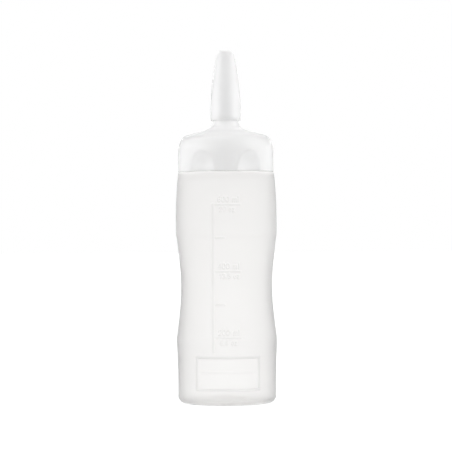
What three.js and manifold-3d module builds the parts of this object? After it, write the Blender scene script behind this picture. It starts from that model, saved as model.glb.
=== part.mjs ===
// Squeeze sauce bottle with a wide screw cap, an integral pouring nozzle and a push-on nozzle hood.
// Units are millimetres, +Z up. The origin is the centre of the base, on the surface the bottle stands on.
// The front, with the graduation, faces -Y.
import * as THREE from 'three';
import { mergeVertices } from 'three/addons/utils/BufferGeometryUtils.js';
import Module from 'manifold-3d';

// ---------------------------------------------------------------- driving dimensions
const SEGMENTS = 40; // facets round the body and the cap
const HOOD_SEGMENTS = 30;

const WALL = 1.2; // blow-moulded wall of the bottle
const FOOT_CORNER = 5.0; // radius between the base and the side wall
const FOOT_RING_IN = 26.5; // flat standing ring, inner radius
const FOOT_RING_OUT = 32.3; // flat standing ring, outer radius
const PUSH_UP = 4.2; // height of the domed middle of the base

const SHOULDER_Z = 176.3; // flat top of the body, under the cap
const NECK_R = 27.6; // outside of the neck, at the thread root
const NECK_BORE_R = 26.4;
const NECK_TOP_Z = 198.4; // sealing rim

const THREAD_PITCH = 6.0; // right-hand thread, one start
const THREAD_TURNS = 1.5;
const THREAD_STEPS = 24; // facets per turn
const MALE_CREST_R = 28.9;
const MALE_START_Z = 180.6;
const FEMALE_CREST_R = 28.3;
const FEMALE_ROOT_R = 29.4;

const CAP_Z = 176.9; // lower edge of the closed cap
const CAP_R = 36.6;
const CAP_WALL = 1.5;
const SKIRT_BOTTOM = 0.5; // inner threaded skirt, above the cap's lower edge
const SKIRT_OUT_R = 30.9;
const SEAT_Z = 23.8; // flat seat for the seal, above the cap's lower edge
const SEAT_IN_R = 25.6;

const SCOOP_R = 20.2; // finger scoops: a round-ended cutter
const SCOOP_DEPTH = 3.7;
const SCOOP_CENTRE_Z = 3.1; // centre of the cutter's round end, above the cap's lower edge
const SCOOP_ANGLES = [-30.3, 30.3, 149.7, -149.7]; // degrees from the front

const NOZZLE_TIP_Z = 90.2; // above the cap's lower edge
const NOZZLE_TIP_R = 3.5;
const NOZZLE_BORE_R = 2.4;

const SEAL_IN_R = 25.8;
const SEAL_OUT_R = 28.9;
const SEAL_T = 1.6;
const SEAL_GAP = 0.35; // clearance above the rim and under the seat

const HOOD_Z = 38.4; // lower rim of the hood, above the cap's lower edge
const HOOD_H = 53.6;
const HOOD_WALL = 1.2;

// Outside of the body, from the top of the foot corner to the shoulder: [radius, height]
const BODY_WALL = [
  [37.3, 5.0], [37.35, 18.0], [37.8, 36.1], [38.3, 47.6], [38.0, 51.2], [36.72, 61.3], [35.53, 72.0], [34.87, 81.5],
  [34.76, 90.0], [35.2, 100.2], [36.09, 109.6], [37.27, 120.3], [38.2, 126.9], [38.5, 130.0], [38.57, 139.0],
  [38.2, 154.7], [37.42, 167.0], [36.78, 174.2], [36.4, 175.6], [35.4, 176.3],
];

// Outside of the cap above its lower edge, up to the stub that the hood leaves in sight
const CAP_OUTER = [
  [CAP_R, 0.0], [CAP_R, 14.6], [36.2, 18.2], [35.2, 21.5], [33.6, 24.7], [31.4, 26.8], [28.5, 27.75], [19.4, 30.1],
  [14.6, 31.6], [12.3, 32.7], [10.8, 34.3], [9.9, 36.4], [9.6, 38.0],
];
// Inside of the dome, a wall thickness below
const CAP_INNER = [
  [CAP_R - CAP_WALL, 0.0], [CAP_R - CAP_WALL, 14.4], [34.7, 17.8], [33.8, 20.7], [32.4, 23.5], [30.6, 25.2],
  [28.1, 26.1], [18.9, 28.5], [13.8, 30.1], [11.2, 31.5], [9.4, 33.5], [8.4, 36.0], [8.1, 38.0],
];
// Collar with a retaining bead for the hood, then the tapered spout
const NOZZLE_OUTER = [
  [9.6, 38.6], [9.95, 39.1], [9.6, 39.6], [6.2, 40.9], [5.2, 42.4], [5.05, 44.2], [NOZZLE_TIP_R, NOZZLE_TIP_Z],
];
const NOZZLE_INNER = [[7.9, 38.6], [7.2, 39.3], [4.9, 40.3], [3.95, 41.8], [3.85, 44.2], [NOZZLE_BORE_R, NOZZLE_TIP_Z]];

// Outside of the hood above its lower rim
const HOOD_OUTER = [
  [11.3, 0.0], [11.6, 0.4], [11.62, 7.0], [11.4, 15.0], [10.8, 24.0], [9.9, 32.0], [8.68, 39.8], [7.5, 46.4],
  [6.25, 53.0], [5.7, HOOD_H],
];

// ---------------------------------------------------------------- helpers
const wasm = await Module();
wasm.setup();

/** A closed solid from a closed three.js geometry. */
function solid(geometry) {
  const bare = geometry.clone();
  for (const name of Object.keys(bare.attributes)) if (name !== 'position') bare.deleteAttribute(name);
  const merged = mergeVertices(bare, 1e-4);
  const p = merged.attributes.position.array;
  const triangles = [];
  for (let i = 0; i < merged.index.count; i += 3) {
    const [a, b, c] = [0, 1, 2].map((k) => merged.index.getX(i + k));
    if (a !== b && b !== c && c !== a) triangles.push([a, b, c]);
  }
  let volume = 0;
  const v = (i) => new THREE.Vector3(p[3 * i], p[3 * i + 1], p[3 * i + 2]);
  for (const [a, b, c] of triangles) volume += v(a).dot(v(b).cross(v(c)));
  const triVerts = new Uint32Array(triangles.flatMap(([a, b, c]) => (volume < 0 ? [a, c, b] : [a, b, c])));
  return new wasm.Manifold(new wasm.Mesh({ numProp: 3, vertProperties: new Float32Array(p), triVerts }));
}

/** Turns a profile of [radius, height] pairs about +Z. The profile starts and ends on the axis or closes on itself. */
function turned(profile, segments = SEGMENTS) {
  const points = profile.map(([r, z]) => new THREE.Vector2(r, z));
  const geometry = new THREE.LatheGeometry(points, segments);
  geometry.rotateX(Math.PI / 2);
  return solid(geometry);
}

/** A closed ring profile: the last point repeats the first. */
const ring = (profile, segments) => turned([...profile, profile[0]], segments);

/** The geometry of a finished solid. */
function geometryOf(body) {
  const mesh = body.getMesh();
  const geometry = new THREE.BufferGeometry();
  const n = mesh.numProp;
  const count = mesh.vertProperties.length / n;
  const position = new Float32Array(count * 3);
  for (let i = 0; i < count; i++) for (let k = 0; k < 3; k++) position[3 * i + k] = mesh.vertProperties[n * i + k];
  geometry.setAttribute('position', new THREE.BufferAttribute(position, 3));
  geometry.setIndex(new THREE.BufferAttribute(new Uint32Array(mesh.triVerts), 1));
  geometry.computeVertexNormals();
  return geometry;
}

/**
 * A helical ridge of trapezium section. rootR lies inside the wall it grows from, crestR is its free edge.
 * z0 is its height at angle a0, in degrees, and its ends fade into the wall.
 */
function helicalRidge({ rootR, crestR, rootWidth, crestWidth, z0, a0, turns }) {
  const steps = Math.round(turns * THREAD_STEPS);
  const position = [];
  const index = [];
  for (let i = 0; i <= steps; i++) {
    const t = i / steps;
    const angle = THREE.MathUtils.degToRad(a0 + 360 * turns * t);
    const z = z0 + THREAD_PITCH * turns * t;
    const fade = Math.min(1, 0.2 + 0.8 * (Math.min(t, 1 - t) * steps) / 3);
    const crest = rootR + (crestR - rootR) * fade;
    const section = [[rootR, -rootWidth / 2], [crest, (-crestWidth / 2) * fade], [crest, (crestWidth / 2) * fade], [rootR, rootWidth / 2]];
    for (const [r, dz] of section) position.push(r * Math.cos(angle), r * Math.sin(angle), z + dz);
  }
  const at = (i, k) => 4 * i + (k % 4);
  for (let i = 0; i < steps; i++) {
    for (let k = 0; k < 4; k++) {
      index.push(at(i, k), at(i + 1, k), at(i + 1, k + 1), at(i, k), at(i + 1, k + 1), at(i, k + 1));
    }
  }
  index.push(0, 1, 2, 0, 2, 3);
  index.push(at(steps, 0), at(steps, 2), at(steps, 1), at(steps, 0), at(steps, 3), at(steps, 2));
  const geometry = new THREE.BufferGeometry();
  geometry.setAttribute('position', new THREE.Float32BufferAttribute(position, 3));
  geometry.setIndex(index);
  return solid(geometry);
}

/** Cutter of one finger scoop: a vertical cylinder with a round upper end, grown by extra. */
function scoopCutter(angle, extra) {
  const r = SCOOP_R + extra;
  const profile = [[0, -30]];
  profile.push([r, -30]);
  for (let i = 0; i <= 8; i++) {
    const a = (Math.PI / 2) * (i / 8);
    profile.push([i === 8 ? 0 : r * Math.cos(a), SCOOP_CENTRE_Z + r * Math.sin(a)]);
  }
  const distance = CAP_R - SCOOP_DEPTH + SCOOP_R;
  const geometry = new THREE.LatheGeometry(profile.map(([x, z]) => new THREE.Vector2(x, z)), 48);
  geometry.rotateX(Math.PI / 2);
  const a = THREE.MathUtils.degToRad(angle);
  geometry.translate(distance * Math.sin(a), -distance * Math.cos(a), 0);
  return solid(geometry);
}

/** A named mesh with its own material. */
function piece(name, body, colour, roughness, opacity) {
  const material = new THREE.MeshStandardMaterial({ color: colour, roughness, metalness: 0, transparent: opacity < 1, opacity });
  const mesh = new THREE.Mesh(geometryOf(body), material);
  mesh.name = name;
  return mesh;
}

// ---------------------------------------------------------------- bottle body
// One blow-moulded shell: domed base, standing ring, waisted wall, shoulder and open threaded neck.
const footCorner = [];
for (let i = 1; i < 4; i++) {
  const a = (Math.PI / 2) * (i / 4);
  footCorner.push([FOOT_RING_OUT + FOOT_CORNER * Math.sin(a), FOOT_CORNER * (1 - Math.cos(a))]);
}
const outside = [
  [0, PUSH_UP], [10, PUSH_UP - 0.2], [18, PUSH_UP - 1.0], [23.5, PUSH_UP - 2.8], [FOOT_RING_IN, 0], [FOOT_RING_OUT, 0],
  ...footCorner,
  ...BODY_WALL,
  [28.6, SHOULDER_Z], [NECK_R, SHOULDER_Z + 0.6],
  [NECK_R, NECK_TOP_Z - 0.5], [NECK_R - 0.4, NECK_TOP_Z],
];
const insideWall = BODY_WALL.slice(0, -3).map(([r, z]) => [r - WALL, z]).reverse();
const inside = [
  [NECK_BORE_R + 0.3, NECK_TOP_Z], [NECK_BORE_R, NECK_TOP_Z - 0.4], [NECK_BORE_R, SHOULDER_Z + 0.2], [26.8, SHOULDER_Z - 1.0], [27.6, SHOULDER_Z - 1.4],
  [34.2, SHOULDER_Z - 1.5], [35.3, SHOULDER_Z - 2.5],
  ...insideWall.slice(0, -1),
  [FOOT_RING_OUT + FOOT_CORNER - WALL, FOOT_CORNER], [35.3, 2.8], [34.0, 1.65], [FOOT_RING_OUT, 1.3], [FOOT_RING_IN + 0.2, 1.3],
  [23.7, PUSH_UP - 1.5], [18, PUSH_UP + 0.3], [10, PUSH_UP + 1.1], [0, PUSH_UP + 1.3],
];
const maleThread = helicalRidge({
  rootR: NECK_R - 0.5, crestR: MALE_CREST_R, rootWidth: 3.2, crestWidth: 1.5, z0: MALE_START_Z, a0: 200, turns: THREAD_TURNS,
});
const bottleSolid = turned([...outside, ...inside]).add(maleThread);

// ---------------------------------------------------------------- screw cap with nozzle
// One moulded piece: a domed shell with finger scoops, an inner threaded skirt, a seat for the seal and the spout.
const capOutside = turned([[0, 0], ...CAP_OUTER, ...NOZZLE_OUTER, [0, NOZZLE_TIP_Z]]);
const capInside = turned([[0, -1], [CAP_R - CAP_WALL, -1], ...CAP_INNER, ...NOZZLE_INNER, [NOZZLE_BORE_R, NOZZLE_TIP_Z + 1], [0, NOZZLE_TIP_Z + 1]]);
let capShell = capOutside;
let capHollow = capInside;
for (const angle of SCOOP_ANGLES) {
  capShell = capShell.subtract(scoopCutter(angle, 0));
  capHollow = capHollow.subtract(scoopCutter(angle, CAP_WALL));
}
const skirt = ring([
  [FEMALE_ROOT_R, SKIRT_BOTTOM], [SKIRT_OUT_R, SKIRT_BOTTOM], [SKIRT_OUT_R, 25.5], [27.4, 26.9], [SEAT_IN_R, 27.3],
  [SEAT_IN_R, SEAT_Z], [FEMALE_ROOT_R, SEAT_Z],
]);
const femaleThread = helicalRidge({
  rootR: FEMALE_ROOT_R + 0.5, crestR: FEMALE_CREST_R, rootWidth: 3.0, crestWidth: 1.4,
  z0: MALE_START_Z + THREAD_PITCH / 2 - THREAD_PITCH * 0.25 - CAP_Z, a0: 200 - 90, turns: THREAD_TURNS,
});
const capSolid = capShell.subtract(capHollow).add(skirt).add(femaleThread);

// ---------------------------------------------------------------- neck seal and nozzle hood
const sealSolid = ring([
  [SEAL_IN_R, 0], [SEAL_OUT_R, 0], [SEAL_OUT_R, SEAL_T], [SEAL_IN_R, SEAL_T],
]);
const hoodInside = HOOD_OUTER.slice(1, -1).map(([r, z]) => [r - HOOD_WALL, z]).reverse();
hoodInside[0] = [HOOD_OUTER[HOOD_OUTER.length - 2][0] - HOOD_WALL + 0.1, HOOD_H - 1.4];
const hoodSolid = turned(
  [[0, HOOD_H], ...[...HOOD_OUTER].reverse(), [10.6, 0], ...[...hoodInside].reverse(), [0, HOOD_H - 1.4]],
  HOOD_SEGMENTS,
);

// ---------------------------------------------------------------- assembly
const bottle = new THREE.Group();
bottle.add(piece('bottle_body', bottleSolid, 0xf1f0ee, 0.45, 0.85));

const closure = new THREE.Group(); // what comes away with the cap
closure.position.z = CAP_Z;
closure.add(piece('screw_cap', capSolid, 0xeeefef, 0.25, 0.75));

const seal = piece('neck_seal', sealSolid, 0xe9e8e4, 0.7, 1);
seal.position.z = NECK_TOP_Z + SEAL_GAP - CAP_Z;
closure.add(seal);

const hood = piece('nozzle_hood', hoodSolid, 0xf0f1f1, 0.22, 0.75);
hood.position.z = HOOD_Z;
closure.add(hood);

bottle.add(closure);

export default bottle;
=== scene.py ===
"""Looks of the squeeze sauce bottle: fine meshes for the moulded shells, plastic materials, soft studio light and the camera.
Lengths in the mesh code are millimetres, and become metres when a mesh is made. Angles go from the front, -Y, towards +X."""
import math

import bpy
import numpy as np
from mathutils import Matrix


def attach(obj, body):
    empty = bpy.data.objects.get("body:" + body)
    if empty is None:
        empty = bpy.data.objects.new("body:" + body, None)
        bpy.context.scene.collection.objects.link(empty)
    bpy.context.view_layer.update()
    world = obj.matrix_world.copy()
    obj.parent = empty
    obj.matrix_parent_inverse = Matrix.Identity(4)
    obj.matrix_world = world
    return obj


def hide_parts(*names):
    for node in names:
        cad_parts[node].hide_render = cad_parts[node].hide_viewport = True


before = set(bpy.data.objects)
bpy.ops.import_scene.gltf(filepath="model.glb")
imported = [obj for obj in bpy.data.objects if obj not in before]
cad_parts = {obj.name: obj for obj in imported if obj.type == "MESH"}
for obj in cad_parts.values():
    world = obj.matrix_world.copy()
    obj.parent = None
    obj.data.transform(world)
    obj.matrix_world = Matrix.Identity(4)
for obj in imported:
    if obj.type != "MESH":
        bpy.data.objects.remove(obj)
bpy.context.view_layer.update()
MM = 0.001
TAU = 2 * math.pi


# ------------------------------------------------------------------ curves
def pchip(xs, ys, x):
    """Monotone cubic through the points, as a smooth moulded profile needs."""
    xs, ys, x = np.asarray(xs, float), np.asarray(ys, float), np.asarray(x, float)
    h, d = np.diff(xs), np.diff(ys) / np.diff(xs)
    m = np.zeros_like(ys)
    m[0], m[-1] = d[0], d[-1]
    for i in range(1, len(xs) - 1):
        if d[i - 1] * d[i] > 0:
            a, b = 2 * h[i] + h[i - 1], h[i] + 2 * h[i - 1]
            m[i] = (a + b) / (a / d[i - 1] + b / d[i])
    k = np.clip(np.searchsorted(xs, x) - 1, 0, len(xs) - 2)
    t = (x - xs[k]) / h[k]
    return (
        (2 * t**3 - 3 * t**2 + 1) * ys[k]
        + (t**3 - 2 * t**2 + t) * h[k] * m[k]
        + (3 * t**2 - 2 * t**3) * ys[k + 1]
        + (t**3 - t**2) * h[k] * m[k + 1]
    )


def smooth_line(points, per=6):
    """Centripetal Catmull-Rom through the points."""
    p = [np.array(q, float) for q in points]
    p = [2 * p[0] - p[1]] + p + [2 * p[-1] - p[-2]]
    out = []
    for i in range(1, len(p) - 2):
        a, b, c, d = p[i - 1 : i + 3]
        t0 = 0.0
        t1 = t0 + max(np.linalg.norm(b - a), 1e-6) ** 0.5
        t2 = t1 + max(np.linalg.norm(c - b), 1e-6) ** 0.5
        t3 = t2 + max(np.linalg.norm(d - c), 1e-6) ** 0.5
        for s in range(per):
            t = t1 + (t2 - t1) * s / per
            a1 = (t1 - t) / (t1 - t0) * a + (t - t0) / (t1 - t0) * b
            a2 = (t2 - t) / (t2 - t1) * b + (t - t1) / (t2 - t1) * c
            a3 = (t3 - t) / (t3 - t2) * c + (t - t2) / (t3 - t2) * d
            b1 = (t2 - t) / (t2 - t0) * a1 + (t - t0) / (t2 - t0) * a2
            b2 = (t3 - t) / (t3 - t1) * a2 + (t - t1) / (t3 - t1) * a3
            out.append((t2 - t) / (t2 - t1) * b1 + (t - t1) / (t2 - t1) * b2)
    out.append(p[-2])
    return [tuple(q) for q in out]


def straight(a, b, step):
    """Points from a to b, without b, about a step apart."""
    a, b = np.array(a, float), np.array(b, float)
    n = max(1, int(round(np.linalg.norm(b - a) / step)))
    return [tuple(a + (b - a) * i / n) for i in range(n)]


def arc(centre, radius, a0, a1, n):
    """Points on an arc in the (radius, height) plane, degrees from the +radius direction, both ends included."""
    return [
        (centre[0] + radius * math.cos(math.radians(a0 + (a1 - a0) * i / n)), centre[1] + radius * math.sin(math.radians(a0 + (a1 - a0) * i / n)))
        for i in range(n + 1)
    ]


def smoothstep(lo, hi, x):
    t = np.clip((x - lo) / (hi - lo), 0, 1)
    return t * t * (3 - 2 * t)


def soft_min(a, b, k):
    """The lower of two values, rounded where they cross."""
    h = np.clip(0.5 + 0.5 * (b - a) / k, 0, 1)
    return b + (a - b) * h - k * h * (1 - h)


# ------------------------------------------------------------------ meshes
def turned_mesh(name, R, Z, A, ends, **marks):
    """A closed mesh from rows of points at radius R, height Z and angle A. With ends the first and last rows are points on the axis, else the rows close on themselves.
    The marks are kept as values at each point, for the material."""
    rows, cols = R.shape
    x, y, z = R * np.sin(A), -R * np.cos(A), Z
    co = np.stack([x, y, z], -1) * MM
    verts, faces = [], []
    nxt = np.roll(np.arange(cols), -1)
    j = np.arange(cols)
    if ends:
        body = co[1:-1].reshape(-1, 3)
        first, last = len(body), len(body) + 1
        verts = np.concatenate([body, co[:1, 0], co[-1:, 0]])
        n = rows - 2
        for i in range(n - 1):
            a, b = i * cols, (i + 1) * cols
            faces.append(np.stack([a + j, a + nxt, b + nxt, b + j], -1))
        quads = np.concatenate(faces)
        tris = np.concatenate([np.stack([np.full(cols, first), nxt, j], -1), np.stack([np.full(cols, last), (n - 1) * cols + j, (n - 1) * cols + nxt], -1)])
    else:
        verts = co.reshape(-1, 3)
        for i in range(rows):
            a, b = i * cols, ((i + 1) % rows) * cols
            faces.append(np.stack([a + j, a + nxt, b + nxt, b + j], -1))
        quads, tris = np.concatenate(faces), np.zeros((0, 3), int)
    p = verts
    volume = 0.0
    for f in (quads[:, [0, 1, 2]], quads[:, [0, 2, 3]], tris):
        if len(f):
            volume += np.einsum("ij,ij->i", p[f[:, 0]], np.cross(p[f[:, 1]], p[f[:, 2]])).sum()
    if volume < 0:
        quads, tris = quads[:, ::-1], tris[:, ::-1]
    mesh = bpy.data.meshes.new(name)
    mesh.vertices.add(len(verts))
    mesh.vertices.foreach_set("co", np.asarray(verts, np.float32).ravel())
    loops = np.concatenate([quads.ravel(), tris.ravel()]).astype(np.int32)
    mesh.loops.add(len(loops))
    mesh.loops.foreach_set("vertex_index", loops)
    starts = np.concatenate([np.arange(len(quads)) * 4, len(quads) * 4 + np.arange(len(tris)) * 3]).astype(np.int32)
    mesh.polygons.add(len(starts))
    mesh.polygons.foreach_set("loop_start", starts)
    mesh.polygons.foreach_set("use_smooth", np.ones(len(starts), bool))
    mesh.update(calc_edges=True)
    mesh.validate()
    for kind, mark in marks.items():
        values = np.concatenate([mark[1:-1].ravel(), mark[0, :1], mark[-1, :1]]) if ends else mark.ravel()
        mesh.attributes.new(kind, "FLOAT", "POINT").data.foreach_set("value", values.astype(np.float32))
    obj = bpy.data.objects.new(name, mesh)
    bpy.context.scene.collection.objects.link(obj)
    return obj


def helix_height(A, Z, a0, z0, pitch, turns, root, crest):
    """0 to 1 over a helical ridge of trapezium section: 1 on its crest, fading out at both ends. a0 is degrees from +X, counted to the left."""
    deg = np.degrees(A) - 90.0  # from the front to +X
    total = np.zeros_like(Z)
    for k in range(-3, 4):
        t = (deg - a0 + 360.0 * k) / (360.0 * turns)
        fade = smoothstep(0, 0.055, t) * smoothstep(0, 0.055, 1 - t)
        dz = np.abs(Z - (z0 + pitch * turns * t))
        total = np.maximum(total, np.where((t > 0) & (t < 1), fade * smoothstep(root, crest, dz), 0))
    return total


# ------------------------------------------------------------------ moulded figures
GLYPHS = {
    "0": (0.62, [[(0.31, 0), (0.12, 0.08), (0.03, 0.3), (0.03, 0.7), (0.12, 0.92), (0.31, 1), (0.5, 0.92), (0.59, 0.7), (0.59, 0.3), (0.5, 0.08), (0.31, 0)]]),
    "1": (0.4, [[(0.04, 0.78), (0.26, 1), (0.26, 0)]]),
    "2": (0.6, [[(0.04, 0.76), (0.1, 0.92), (0.3, 1), (0.5, 0.92), (0.56, 0.72), (0.48, 0.52), (0.04, 0), (0.57, 0)]]),
    "3": (0.6, [[(0.05, 0.86), (0.28, 1), (0.5, 0.9), (0.53, 0.72), (0.42, 0.56), (0.25, 0.53)], [(0.25, 0.53), (0.48, 0.47), (0.57, 0.27), (0.48, 0.07), (0.28, 0), (0.04, 0.12)]]),
    "4": (0.62, [[(0.45, 0), (0.45, 1), (0.03, 0.28), (0.6, 0.28)]]),
    "5": (0.6, [[(0.53, 1), (0.13, 1), (0.08, 0.56), (0.3, 0.63), (0.5, 0.53), (0.57, 0.32), (0.48, 0.09), (0.28, 0), (0.04, 0.1)]]),
    "6": (0.6, [[(0.5, 0.92), (0.33, 1), (0.14, 0.88), (0.04, 0.6), (0.04, 0.3), (0.13, 0.07), (0.31, 0), (0.49, 0.08), (0.57, 0.3), (0.48, 0.5), (0.31, 0.57), (0.12, 0.48), (0.04, 0.3)]]),
    "7": (0.56, [[(0.03, 1), (0.55, 1), (0.2, 0)]]),
    "8": (0.6, [[(0.3, 0.54), (0.12, 0.63), (0.08, 0.8), (0.16, 0.95), (0.3, 1), (0.44, 0.95), (0.52, 0.8), (0.48, 0.63), (0.3, 0.54), (0.1, 0.44), (0.03, 0.25), (0.12, 0.07), (0.3, 0), (0.48, 0.07), (0.57, 0.25), (0.5, 0.44), (0.3, 0.54)]]),
    "9": (0.6, [[(0.08, 0.08), (0.26, 0), (0.45, 0.12), (0.56, 0.4), (0.56, 0.7), (0.47, 0.93), (0.29, 1), (0.11, 0.92), (0.03, 0.7), (0.12, 0.5), (0.29, 0.43), (0.48, 0.52), (0.56, 0.7)]]),
    ".": (0.2, [[(0.1, 0.0), (0.1, 0.03)]]),
    "m": (0.86, [[(0.06, 0), (0.06, 0.66)], [(0.06, 0.5), (0.18, 0.66), (0.34, 0.66), (0.43, 0.5), (0.43, 0)], [(0.43, 0.5), (0.55, 0.66), (0.7, 0.66), (0.79, 0.5), (0.79, 0)]]),
    "l": (0.2, [[(0.1, 0), (0.1, 1)]]),
    "o": (0.56, [[(0.28, 0), (0.1, 0.1), (0.04, 0.33), (0.1, 0.57), (0.28, 0.67), (0.46, 0.57), (0.52, 0.33), (0.46, 0.1), (0.28, 0)]]),
    "z": (0.5, [[(0.05, 0.66), (0.45, 0.66), (0.05, 0), (0.46, 0)]]),
    " ": (0.34, []),
}


def strokes(text, left, foot, height):
    """The stroke segments of a line of figures whose lower left corner is at (left, foot)."""
    out, x = [], left
    for ch in text:
        width, lines = GLYPHS[ch]
        for line in lines:
            for (xa, za), (xb, zb) in zip(line, line[1:]):
                out.append((x + xa * height, foot + za * height, x + xb * height, foot + zb * height))
        x += (width + 0.2) * height
    return out


def raised(X, Z, segments, width, edge):
    """0 to 1 over round-edged strokes of that width."""
    best = np.full(X.shape, 1e3)
    for xa, za, xb, zb in segments:
        near = (X > min(xa, xb) - width) & (X < max(xa, xb) + width) & (Z > min(za, zb) - width) & (Z < max(za, zb) + width)
        if not near.any():
            continue
        px, pz, dx, dz = X[near] - xa, Z[near] - za, xb - xa, zb - za
        t = np.clip((px * dx + pz * dz) / max(dx * dx + dz * dz, 1e-9), 0, 1)
        best[near] = np.minimum(best[near], np.hypot(px - t * dx, pz - t * dz))
    return 1 - smoothstep(width / 2 - edge, width / 2 + edge, best)


# ------------------------------------------------------------------ bottle
WALL_Z = [5.0, 13.3, 19.1, 24.8, 30.4, 36.1, 41.8, 46.0, 48.7, 50.6, 52.9, 55.9, 61.3, 66.7, 72.0, 77.4, 82.7, 88.1, 93.5, 98.8, 104.2, 109.6, 114.9, 120.3, 123.3, 125.6, 127.2, 128.7, 131.0, 134.1, 139.4, 144.3, 149.5, 154.7, 159.9, 165.0, 170.2, 174.2]
WALL_R = [37.3, 37.3, 37.37, 37.46, 37.6, 37.8, 38.05, 38.26, 38.3, 38.09, 37.76, 37.37, 36.72, 36.09, 35.53, 35.1, 34.83, 34.74, 34.84, 35.11, 35.54, 36.09, 36.68, 37.27, 37.61, 37.96, 38.25, 38.43, 38.5, 38.55, 38.57, 38.51, 38.39, 38.2, 37.92, 37.57, 37.13, 36.78]
WALL = 1.2
PX = 0.766  # millimetres for one picture element of the reference, at the axis


def wall_r(z):
    return pchip(WALL_Z, WALL_R, np.clip(z, WALL_Z[0], WALL_Z[-1]))


TICKS = {600: 150.9, 500: 126.2, 400: 100.9, 300: 75.8, 200: 51.2}
RAIL_X = -10.3
PANEL_C, PANEL_HALF, PANEL_TOP, PANEL_LOW = 0.65, 23.4, 36.5, 12.0
LABELS = [(600, "600 ml", "20 oz"), (400, "400 ml", "13.5 oz"), (200, "200 ml", "6.8 oz")]


def relief(X, Z):
    """Height of the moulded marks over the wall, in millimetres, and the painted shade along them (how much their
    colour is darkened), by place on the front.
    """
    rail = raised(X, Z, [(RAIL_X, 41.2, RAIL_X, 151.2)], 1.6, 0.35)
    lines = []
    for mark, z in TICKS.items():
        lines.append((RAIL_X + 2.4, z, 10.4 if mark in (600, 400, 200) else -1.4, z))
    ticks = raised(X, Z, lines, 1.0, 0.3)
    lines = []
    for mark, upper, lower in LABELS:
        z = TICKS[mark]
        lines += strokes(upper, -6.2, z + 2.1, 3.7)
        lines += strokes(lower, -5.0, z - 5.1, 3.3)
    figures = raised(X, Z, lines, 0.75, 0.25)
    # writing panel: a raised frame round a slightly sunk field with one ruled line
    x0, x1 = PANEL_C - PANEL_HALF, PANEL_C + PANEL_HALF
    across = raised(X, Z, [(x0, PANEL_TOP, x1, PANEL_TOP)], 1.9, 0.4)
    foot = raised(X, Z, [(x0, PANEL_LOW, x1, PANEL_LOW)], 1.5, 0.4)
    sides = raised(X, Z, [(x0, PANEL_LOW, x0, PANEL_TOP), (x1, PANEL_LOW, x1, PANEL_TOP)], 1.5, 0.35)
    ruled = raised(X, Z, [(x0 + 3, 25.4, x1 - 3, 25.4)], 0.8, 0.25)
    h = np.maximum.reduce([0.62 * rail, 0.45 * ticks, 0.5 * figures, 0.65 * across, 0.65 * foot, 0.65 * sides])
    inside = smoothstep(x0 + 0.5, x0 + 1.1, X) * smoothstep(-x1 + 0.5, -x1 + 1.1, -X) * smoothstep(PANEL_LOW + 0.5, PANEL_LOW + 1.1, Z) * smoothstep(-PANEL_TOP + 0.5, -PANEL_TOP + 1.1, -Z)
    h = h - 0.2 * inside * (h < 0.2)
    h = np.maximum(h, -0.2 + 0.32 * ruled)
    # painted shade: the colour is darkened along the rail, ticks, figures, panel frame and ruled line, for the dark
    # lines their edges show
    painted_relief_shade = np.maximum.reduce([0.06 * rail, 0.07 * ticks, 0.08 * figures, 0.11 * across, 0.04 * foot, 0.09 * sides, 0.025 * ruled])
    return h, painted_relief_shade


def spaced(stops):
    """Values along (from, to, step) stretches, in order, without repeats."""
    out = []
    for lo, hi, step in stops:
        n = max(1, int(round((hi - lo) / step)))
        out += [lo + (hi - lo) * i / n for i in range(n)]
    out.append(stops[-1][1])
    return np.array(out)


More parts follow.
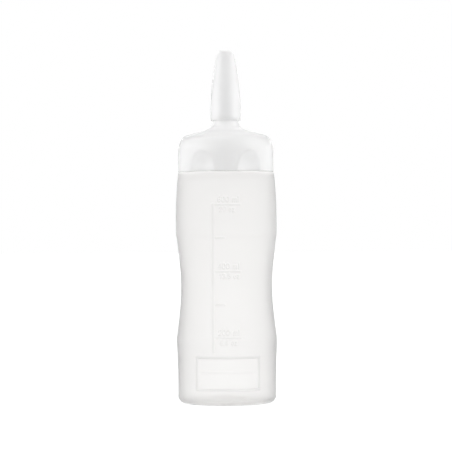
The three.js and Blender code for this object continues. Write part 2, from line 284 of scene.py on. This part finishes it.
def make_bottle():
    # columns: at fixed X over the marks, so that upright lines run along the mesh, and by angle over the rest
    x0, x1 = PANEL_C - PANEL_HALF, PANEL_C + PANEL_HALF
    cols_x = spaced([(-28, x0 - 1.6, 1.2), (x0 - 1.6, x0 + 1.6, 0.32), (x0 + 1.6, -11.6, 1.6), (-11.6, 12.6, 0.36), (12.6, x1 - 1.6, 1.6), (x1 - 1.6, x1 + 1.6, 0.32), (x1 + 1.6, 28, 1.2)])
    n_rest = 104

    def columns(r):
        front = np.arcsin(np.clip(cols_x / r, -1, 1))
        rest = front[-1] + (front[0] + TAU - front[-1]) * np.arange(1, n_rest + 1) / (n_rest + 1)
        return np.concatenate([front, rest])

    stops, z = [], 5.0
    fine = [(PANEL_LOW - 1.5, PANEL_LOW + 1.5, 0.3), (24.8, 26.0, 0.3), (PANEL_TOP - 1.5, PANEL_TOP + 1.5, 0.3)]
    for mark in (200, 300, 400, 500, 600):
        t = TICKS[mark]
        fine.append((t - 5.8, t + 6.5, 0.36) if mark in (200, 400, 600) else (t - 0.9, t + 0.9, 0.3))
    for lo, hi, step in sorted(fine):
        if lo > z:
            stops.append((z, lo, 1.5))
        stops.append((lo, hi, step))
        z = hi
    stops.append((z, 174.2, 1.5))
    wall_rows = [(float(wall_r(z)), z) for z in spaced(stops)]

    base_r = [0, 10, 18, 23.5, 26.2]
    base_z = [4.2, 4.0, 3.2, 1.4, 0.12]
    foot = [(float(r), float(pchip(base_r, base_z, r))) for r in (0, 3, 6, 9, 12, 15, 18, 20, 22, 23.5, 24.6, 25.5, 26.2)]
    foot += [(26.7, 0.0), (28.5, 0.0), (30.4, 0.0)] + arc((32.3, 5.0), 5.0, -90, 0, 12)[:-1]
    shoulder = arc((35.7, 175.1), 1.05, 0, 84, 7) + [(33.0, 176.13), (30.6, 176.13), (29.2, 176.15)] + [(28.6 - 1.0 * math.sin(a), 177.2 - 1.0 * math.cos(a)) for a in np.radians([0, 22, 45, 68, 90])]
    neck = straight((27.6, 177.9), (27.6, 178.8), 0.5) + straight((27.6, 178.8), (27.6, 192.0), 0.38) + straight((27.6, 192.0), (27.6, 197.7), 1.4)
    rim = arc((27.1, 197.9), 0.5, 0, 90, 5) + arc((26.9, 197.9), 0.5, 90, 180, 5)
    bore = straight((26.4, 197.2), (26.4, 177.6), 2.4) + [(26.4, 177.2), (26.45, 176.8), (26.7, 176.3), (27.3, 176.08), (29.2, 175.99), (30.6, 175.97), (33.0, 175.97)] + arc((35.7, 175.1), 0.88, 84, 0, 6)
    # the wall is a little thinner towards the shoulder and the base, where blowing stretches it most
    inner = [(float(wall_r(z) - WALL + 0.005 * (max(z, 40.0) - 105.0) + 0.14 * smoothstep(-40.0, -14.0, -z)), float(z)) for z in np.concatenate([np.linspace(173.6, 160, 10), np.linspace(157, 14, 46), np.linspace(12, 6, 6)])]
    floor = arc((31.75, 4.6), 4.0, 0, -90, 8) + [(30.0, 0.3), (27.4, 0.28)]
    floor += [(float(r), float(pchip(base_r, [4.4, 4.2, 3.4, 1.6, 0.36], r))) for r in (26.2, 25.0, 23.5, 21.5, 18, 14, 10, 5, 0)]
    path = np.array(foot + wall_rows + shoulder + neck + rim + bore + inner + floor)
    zone = np.array(["foot"] * len(foot) + ["wall"] * len(wall_rows) + ["shoulder"] * len(shoulder) + ["neck"] * len(neck) + ["in"] * (len(rim) + len(bore) + len(inner) + len(floor)))
    A = np.stack([columns(r if k == "wall" else 37.3) for (r, _), k in zip(path, zone)])
    R = np.repeat(path[:, :1], A.shape[1], 1)
    Z = np.repeat(path[:, 1:], A.shape[1], 1)
    w = zone == "wall"
    height, painted_relief_shade = relief(np.where(np.cos(A[w]) > 0, R[w] * np.sin(A[w]), 1e3), Z[w])
    proud = R[w] + height
    # the moulded attribute carries this painted shade of the raised marks to the material
    mark = np.zeros_like(R)
    mark[w] = painted_relief_shade
    R[w] = np.where(np.cos(A[w]) > 0.5, np.minimum(proud, 38.56 / np.maximum(np.cos(A[w]), 0.5)), proud)
    n = zone == "neck"
    R[n] += 1.3 * helix_height(A[n], Z[n], 200.0, 180.6, 6.0, 1.5, 1.36, 0.72)
    return turned_mesh("bottle_shell", R, Z, A, True, moulded=mark, milky=np.where(Z < 6, smoothstep(-28.5, -26.0, -R), 0.0))


# ------------------------------------------------------------------ cap
CAP_Z = 176.9
CAP_R, CAP_WALL = 36.6, 1.5
SCOOPS = [math.radians(a) for a in (-30.3, 30.3, 149.7, -149.7)]
SCOOP_R, SCOOP_AT, SCOOP_Z = 20.2, 36.6 - 3.7 + 20.2, 3.1


def scooped(R, Z, A, extra, k=0.7):
    """R cut back by the round-ended finger scoops."""
    out = R.copy()
    for s in SCOOPS:
        d = (A - s + math.pi) % TAU - math.pi
        rr = (SCOOP_R + extra) ** 2 - np.clip(Z - SCOOP_Z, 0, None) ** 2
        under = rr - (SCOOP_AT * np.sin(d)) ** 2
        near = (np.abs(d) < 1.0) & (under > 0) & (rr > 0)
        cut = np.where(near, SCOOP_AT * np.cos(d) - np.sqrt(np.where(near, under, 0)), 1e3)
        out = np.where(near, soft_min(out, cut, k), out)
    return out


def make_cap():
    cols = 264
    A1 = np.arange(cols) / cols * TAU
    dome_out = smooth_line([(36.6, 14.0), (36.55, 15.6), (36.36, 17.6), (35.95, 19.6), (35.3, 21.6), (34.35, 23.7), (33.1, 25.4), (31.3, 26.8), (28.6, 27.75), (25.9, 28.5), (22.8, 29.3), (19.4, 30.15), (16.9, 30.85), (14.7, 31.65), (12.7, 32.6), (11.4, 33.6), (10.55, 34.8), (10.0, 36.2), (9.72, 37.2), (9.62, 37.9)], 3)
    dome_in = smooth_line([(35.1, 14.0), (35.0, 16.2), (34.55, 18.5), (33.85, 20.7), (32.9, 22.6), (32.0, 23.8), (31.2, 24.4)], 3)
    under = smooth_line([(25.6, 26.5), (25.3, 26.9), (22.4, 27.7), (18.9, 28.55), (16.2, 29.3), (13.8, 30.2), (11.5, 31.4), (10.0, 32.7), (9.0, 34.2), (8.4, 36.0), (8.1, 37.6), (7.95, 38.6), (7.2, 39.4), (5.9, 40.0), (4.8, 40.6), (4.15, 41.5), (3.9, 42.7), (3.85, 44.2)], 3)
    spout_out = straight((5.04, 44.8), (3.52, 89.5), 2.2)
    spout_in = straight((3.83, 44.8), (2.42, 89.3), 2.2)
    tip = arc((3.1, 89.8), 0.4, 4, 90, 4) + arc((2.8, 89.8), 0.4, 90, 176, 4)
    collar = smooth_line([(9.6, 38.2), (9.64, 38.6), (9.92, 38.95), (9.92, 39.25), (9.6, 39.65), (8.6, 40.1), (7.2, 40.6), (6.1, 41.2), (5.45, 42.2), (5.12, 43.4), (5.06, 44.4)], 3)
    loop, zone = [], []

    def add(points, kind):
        loop.extend(points)
        zone.extend([kind] * len(points))

    add(straight((25.6, 24.1), (25.6, 26.4), 0.6), "plain")
    add(under, "plain")
    add(spout_in, "plain")
    add(list(reversed(tip)), "plain")
    add(list(reversed(spout_out)), "plain")
    add(list(reversed(collar)), "plain")
    add(list(reversed(dome_out)), "outer")
    add(straight((36.6, 13.6), (36.6, -0.4), 0.45), "outer")
    add(arc((36.4, -0.5), 0.2, 0, -90, 3), "outer")
    add(arc((35.3, -0.5), 0.2, -90, -180, 3), "inner")
    add(straight((35.1, 0.1), (35.1, 13.6), 0.6), "inner")
    add(dome_in, "inner")
    add(straight((30.9, 24.0), (30.9, 1.0), 1.6), "plain")
    add(arc((30.5, 0.9), 0.4, 0, -90, 4) + arc((29.8, 0.9), 0.4, -90, -180, 4), "plain")
    add(straight((29.4, 1.3), (29.4, 15.0), 0.38), "thread")
    add(straight((29.4, 15.0), (29.4, 23.5), 1.6), "plain")
    add(arc((29.1, 23.5), 0.3, 0, 90, 3) + [(28.4, 23.8), (27.4, 23.8), (26.6, 23.8)] + arc((25.9, 24.1), 0.3, -90, -180, 3)[:-1], "plain")
    path, zone = np.array(loop), np.array(zone)
    R = np.repeat(path[:, :1], cols, 1)
    Z = np.repeat(path[:, 1:], cols, 1)
    A = np.repeat(A1[None], len(path), 0)
    o, i, t = zone == "outer", zone == "inner", zone == "thread"
    mark = np.zeros_like(R)
    cut = np.where(Z[o] < 16.5, scooped(np.full_like(R[o], CAP_R), Z[o], A[o], 0.0) - CAP_R, 0)
    R[o] += cut
    mark[o] = smoothstep(0.3, 1.2, -cut)
    cut = np.where(Z[i] < 16.5, scooped(np.full_like(R[i], CAP_R - CAP_WALL), Z[i], A[i], CAP_WALL) - (CAP_R - CAP_WALL), 0)
    R[i] += cut
    R[t] -= 1.1 * helix_height(A[t], Z[t], 110.0, 180.6 + 3.0 - 1.5 - CAP_Z, 6.0, 1.5, 1.25, 0.68)
    return turned_mesh("cap_shell", R, Z + CAP_Z, A, False, milky=mark)


# ------------------------------------------------------------------ hood and seal
HOOD_Z = CAP_Z + 38.4


def make_hood():
    cols = 160
    zs = [0.0, 3.5, 7.0, 13.0, 19.2, 24.8, 29.8, 34.8, 39.8, 44.8, 49.3, 53.6]
    rs = [11.55, 11.62, 11.62, 11.48, 11.16, 10.74, 10.2, 9.52, 8.7, 7.8, 6.95, 6.12]
    side = [(float(pchip(zs, rs, z)), float(z)) for z in np.linspace(0.7, 52.7, 44)]
    inside = [(float(pchip(zs, rs, z)) - 1.2, float(z)) for z in np.linspace(51.0, 0.8, 36)]
    r_top = float(pchip(zs, rs, 52.9))
    top = [(0, 53.6), (1.5, 53.6), (3.0, 53.6), (4.4, 53.6)] + list(reversed(arc((r_top - 0.75, 52.85), 0.75, 12, 90, 5)))
    rim = arc((11.1, 0.5), 0.48, 0, -90, 4) + arc((10.85, 0.5), 0.5, -90, -180, 4)
    ceiling = arc((3.9, 51.2), 1.0, 0, 90, 5) + [(2.6, 52.2), (1.3, 52.2), (0, 52.2)]
    path = np.array(top + list(reversed(side)) + rim + list(reversed(inside)) + ceiling)
    A = np.repeat((np.arange(cols) / cols * TAU)[None], len(path), 0)
    R, Z = np.repeat(path[:, :1], cols, 1), np.repeat(path[:, 1:], cols, 1)
    return turned_mesh("hood_shell", R, Z + HOOD_Z, A, True)


def make_seal():
    cols = 160
    lo, hi = 198.75, 200.35
    path = np.array(
        arc((28.6, lo + 0.3), 0.3, -90, 0, 4) + arc((28.6, hi - 0.3), 0.3, 0, 90, 4) + [(27.8, hi), (26.9, hi)]
        + arc((26.1, hi - 0.3), 0.3, 90, 180, 4) + arc((26.1, lo + 0.3), 0.3, 180, 270, 4) + [(26.9, lo), (27.8, lo)]
    )
    A = np.repeat((np.arange(cols) / cols * TAU)[None], len(path), 0)
    return turned_mesh("seal_ring", np.repeat(path[:, :1], cols, 1), np.repeat(path[:, 1:], cols, 1), A, False)


bottle, cap, hood, seal = make_bottle(), make_cap(), make_hood(), make_seal()


# ------------------------------------------------------------------ materials
def plastic(name, colour, rough, transmission, ior, spread, bump, absorb=0.0, gloss=0.0, gloss_rough=0.1, gloss_ior=1.5, bands=(), paint_relief_shade=False, milky=0.0):
    """Translucent moulded plastic: faint clouding in its colour and polish, a fine moulded skin, a glossy outer
    surface, and light lost along the way through the wall. When the painted relief shade is on, the colour is also
    darkened along the raised marks, as painted shade.
    Each band gives a height from which the plastic changes, the height where it has changed, and the roughness, share
    of the colour, clearness and gloss from there on. A share below one darkens the colour as painted shade."""
    mat = bpy.data.materials.new(name)
    mat.use_nodes = True
    nt = mat.node_tree
    b = nt.nodes["Principled BSDF"]
    b.inputs["IOR"].default_value = ior
    b.inputs["Transmission Weight"].default_value = transmission
    b.inputs["Coat Weight"].default_value = gloss
    b.inputs["Coat Roughness"].default_value = gloss_rough
    b.inputs["Coat IOR"].default_value = gloss_ior
    co = nt.nodes.new("ShaderNodeTexCoord")
    cloud = nt.nodes.new("ShaderNodeTexNoise")
    cloud.inputs["Scale"].default_value = 55.0
    cloud.inputs["Detail"].default_value = 3.0
    nt.links.new(co.outputs["Object"], cloud.inputs["Vector"])
    tone = nt.nodes.new("ShaderNodeValToRGB")
    tone.color_ramp.elements[0].position, tone.color_ramp.elements[1].position = 0.3, 0.7
    tone.color_ramp.elements[0].color = (*[c - spread for c in colour], 1)
    tone.color_ramp.elements[1].color = (*colour, 1)
    nt.links.new(cloud.outputs["Fac"], tone.inputs["Fac"])
    polish = nt.nodes.new("ShaderNodeMapRange")
    polish.inputs["To Min"].default_value, polish.inputs["To Max"].default_value = rough - 0.04, rough + 0.04
    nt.links.new(cloud.outputs["Fac"], polish.inputs["Value"])
    shade, sheen, clear, shine = tone.outputs["Color"], polish.outputs["Result"], transmission, gloss

    def over(start, end, factor):
        """A number that goes over from one value to another."""
        step = nt.nodes.new("ShaderNodeMix")
        step.inputs[3].default_value = end
        nt.links.new(factor, step.inputs["Factor"])
        if isinstance(start, float):
            step.inputs[2].default_value = start
        else:
            nt.links.new(start, step.inputs[2])
        return step.outputs[0]

    place = nt.nodes.new("ShaderNodeSeparateXYZ")
    nt.links.new(co.outputs["Object"], place.inputs["Vector"])
    for z0, z1, band_rough, share, band_clear, band_shine in bands:
        along = nt.nodes.new("ShaderNodeMapRange")
        along.inputs["From Min"].default_value, along.inputs["From Max"].default_value = z0, z1
        nt.links.new(place.outputs["Z"], along.inputs["Value"])
        less = nt.nodes.new("ShaderNodeMix")
        less.data_type = "RGBA"
        less.blend_type = "MULTIPLY"
        less.inputs[7].default_value = (share, share, share, 1)
        nt.links.new(along.outputs["Result"], less.inputs["Factor"])
        nt.links.new(shade, less.inputs[6])
        shade = less.outputs[2]
        sheen = over(sheen, band_rough, along.outputs["Result"])
        clear = over(clear, band_clear, along.outputs["Result"])
        shine = over(shine, band_shine, along.outputs["Result"])
    if milky:
        cloudy = nt.nodes.new("ShaderNodeAttribute")
        cloudy.attribute_name = "milky"
        clear = over(clear, transmission - milky, cloudy.outputs["Fac"])
    # painted shade: the moulded attribute darkens the colour towards black along the raised marks
    if paint_relief_shade:
        painted_relief_shade = nt.nodes.new("ShaderNodeAttribute")
        painted_relief_shade.attribute_name = "moulded"
        relief_shade_mix = nt.nodes.new("ShaderNodeMix")
        relief_shade_mix.data_type = "RGBA"
        relief_shade_mix.inputs[7].default_value = (0, 0, 0, 1)
        nt.links.new(painted_relief_shade.outputs["Fac"], relief_shade_mix.inputs["Factor"])
        nt.links.new(shade, relief_shade_mix.inputs[6])
        shade = relief_shade_mix.outputs[2]
    nt.links.new(shade, b.inputs["Base Color"])
    nt.links.new(sheen, b.inputs["Roughness"])
    if bands:
        nt.links.new(clear, b.inputs["Transmission Weight"])
        nt.links.new(shine, b.inputs["Coat Weight"])
    skin = nt.nodes.new("ShaderNodeTexNoise")
    skin.inputs["Scale"].default_value = 900.0
    skin.inputs["Detail"].default_value = 2.0
    nt.links.new(co.outputs["Object"], skin.inputs["Vector"])
    bumps = nt.nodes.new("ShaderNodeBump")
    bumps.inputs["Strength"].default_value = bump
    bumps.inputs["Distance"].default_value = 0.0001
    nt.links.new(skin.outputs["Fac"], bumps.inputs["Height"])
    nt.links.new(bumps.outputs["Normal"], b.inputs["Normal"])
    if absorb:
        inside = nt.nodes.new("ShaderNodeVolumeAbsorption")
        inside.inputs["Color"].default_value = (0, 0, 0, 1)
        inside.inputs["Density"].default_value = absorb
        nt.links.new(inside.outputs["Volume"], nt.nodes["Material Output"].inputs["Volume"])
    return mat


# the shoulder and the neck come smoother from the mould than the wall; the dome and the scoops are milkier than the
# rest of the cap; over the nozzle the cap is clearer and less glossy and its colour is darkened to 0.94, painted shade
# for the dark band down the middle of the hood
body_mat = plastic("milky_polyethylene", (0.998, 0.9935, 0.988), 0.38, 0.96, 1.12, 0.004, 0.15, 54.0, bands=[(0.1738, 0.1752, 0.3, 1.0, 0.62, 0.0)], paint_relief_shade=True, milky=0.76)
cap_mat = plastic("hazy_polypropylene", (1.0, 1.0, 1.0), 0.36, 0.76, 1.12, 0.002, 0.1, 0.5, 1.0, 0.15, 2.0, bands=[(0.2005, 0.2040, 0.3, 1.0, 0.55, 0.4), (0.2095, 0.2110, 0.36, 1.0, 0.86, 1.0), (0.2148, 0.2156, 0.36, 1.0, 0.45, 1.0), (0.2186, 0.2205, 0.36, 0.94, 0.97, 0.3)], milky=0.195)
hood_mat = plastic("clear_polypropylene", (0.952, 0.952, 0.952), 0.3, 0.93, 1.12, 0.002, 0.06, 1.0, 1.0, 0.1, 1.6)
seal_mat = plastic("white_silicone", (0.86, 0.855, 0.84), 0.6, 0.0, 1.42, 0.03, 0.5)

for piece, body, node, slot, mat in (
    (bottle, "bottle", "bottle_body", "bottle_plastic", body_mat),
    (cap, "cap", "screw_cap", "cap_plastic", cap_mat),
    (hood, "hood", "nozzle_hood", "hood_plastic", hood_mat),
    (seal, "seal", "neck_seal", "seal_rubber", seal_mat),
):
    piece.data.materials.append(mat)
    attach(piece, body)
    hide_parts(node)


# ------------------------------------------------------------------ stage
def plain_material(name, colour, rough):
    mat = bpy.data.materials.new(name)
    mat.use_nodes = True
    b = mat.node_tree.nodes["Principled BSDF"]
    b.inputs["Base Color"].default_value = (*colour, 1)
    b.inputs["Roughness"].default_value = rough
    b.inputs["Specular IOR Level"].default_value = 0.2
    return mat


mesh = bpy.data.meshes.new("floor")
s = 8.0
mesh.from_pydata([(-s, -s, 0), (s, -s, 0), (s, s, 0), (-s, s, 0)], [], [(0, 1, 2, 3)])
floor = bpy.data.objects.new("floor", mesh)
floor.location.z = -0.0003
bpy.context.scene.collection.objects.link(floor)
floor_mat = plain_material("lit_table", (0.08, 0.08, 0.08), 0.7)
floor_mat.node_tree.nodes["Principled BSDF"].inputs["Emission Color"].default_value = (1, 1, 1, 1)
floor_mat.node_tree.nodes["Principled BSDF"].inputs["Emission Strength"].default_value = 0.95
floor.data.materials.append(floor_mat)

# a light tent: brightness by direction, from the front (camera side) to the back, low and high
TENT_Y = (-1.0, -0.62, -0.45, 0.0, 0.55, 1.0)
TENT_Z = (0.15, 0.7)
TENT = (
    (1.02, 1.28, 1.72, 1.70, 1.40, 0.93),
    (1.05, 1.10, 1.28, 1.45, 0.95, 0.50),
)
world = bpy.data.worlds.new("studio")
bpy.context.scene.world = world


def tent(world, table):
    """World light that goes from value to value of the table, by direction."""
    world.use_nodes = True
    nt = world.node_tree
    nt.nodes.clear()
    co = nt.nodes.new("ShaderNodeTexCoord")
    split = nt.nodes.new("ShaderNodeSeparateXYZ")
    nt.links.new(co.outputs["Generated"], split.inputs["Vector"])
    along = nt.nodes.new("ShaderNodeMapRange")
    along.inputs["From Min"].default_value = -1.0
    nt.links.new(split.outputs["Y"], along.inputs["Value"])
    top = max(max(row) for row in table)
    level = None
    for k, row in enumerate(table):
        ramp = nt.nodes.new("ShaderNodeValToRGB")
        while len(ramp.color_ramp.elements) < len(row):
            ramp.color_ramp.elements.new(0.5)
        for e, y, v in zip(ramp.color_ramp.elements, TENT_Y, row):
            e.position = (y + 1) / 2
            e.color = (v / top, v / top, v / top, 1)
        nt.links.new(along.outputs["Result"], ramp.inputs["Fac"])
        if level is None:
            level = ramp.outputs["Color"]
            continue
        rise = nt.nodes.new("ShaderNodeMapRange")
        rise.inputs["From Min"].default_value, rise.inputs["From Max"].default_value = TENT_Z[k - 1], TENT_Z[k]
        nt.links.new(split.outputs["Z"], rise.inputs["Value"])
        mix = nt.nodes.new("ShaderNodeMix")
        mix.data_type = "RGBA"
        nt.links.new(rise.outputs["Result"], mix.inputs["Factor"])
        nt.links.new(level, mix.inputs[6])
        nt.links.new(ramp.outputs["Color"], mix.inputs[7])
        level = mix.outputs[2]
    lit = nt.nodes.new("ShaderNodeBackground")
    lit.inputs["Strength"].default_value = top
    nt.links.new(level, lit.inputs["Color"])
    seen = nt.nodes.new("ShaderNodeBackground")
    seen.inputs["Color"].default_value = (1, 1, 1, 1)
    mix = nt.nodes.new("ShaderNodeMixShader")
    path_node = nt.nodes.new("ShaderNodeLightPath")
    out = nt.nodes.new("ShaderNodeOutputWorld")
    nt.links.new(path_node.outputs["Is Camera Ray"], mix.inputs["Fac"])
    nt.links.new(lit.outputs["Background"], mix.inputs[1])
    nt.links.new(seen.outputs["Background"], mix.inputs[2])
    nt.links.new(mix.outputs["Shader"], out.inputs["Surface"])


tent(world, TENT)
bpy.context.scene.cycles.max_bounces = 48
bpy.context.scene.cycles.transmission_bounces = 48
bpy.context.scene.cycles.glossy_bounces = 8
bpy.context.scene.cycles.diffuse_bounces = 6

# ------------------------------------------------------------------ camera
SIZE = 452
DISTANCE = 1897 * PX * MM
cam_data = bpy.data.cameras.new("camera")
cam_data.sensor_width = 36.0
cam_data.lens = 36.0 * 1897 / SIZE
cam_data.clip_end = 50.0
cam = bpy.data.objects.new("camera", cam_data)
bpy.context.scene.collection.objects.link(cam)
cam.rotation_mode = "XYZ"
cam.location = (-0.0002, -DISTANCE, (402.0 - 226.0) * PX * MM)
cam.rotation_euler = (math.radians(90.0), math.radians(0.35), 0.0)
bpy.context.scene.camera = cam
bpy.context.scene.view_settings.view_transform = "Standard"
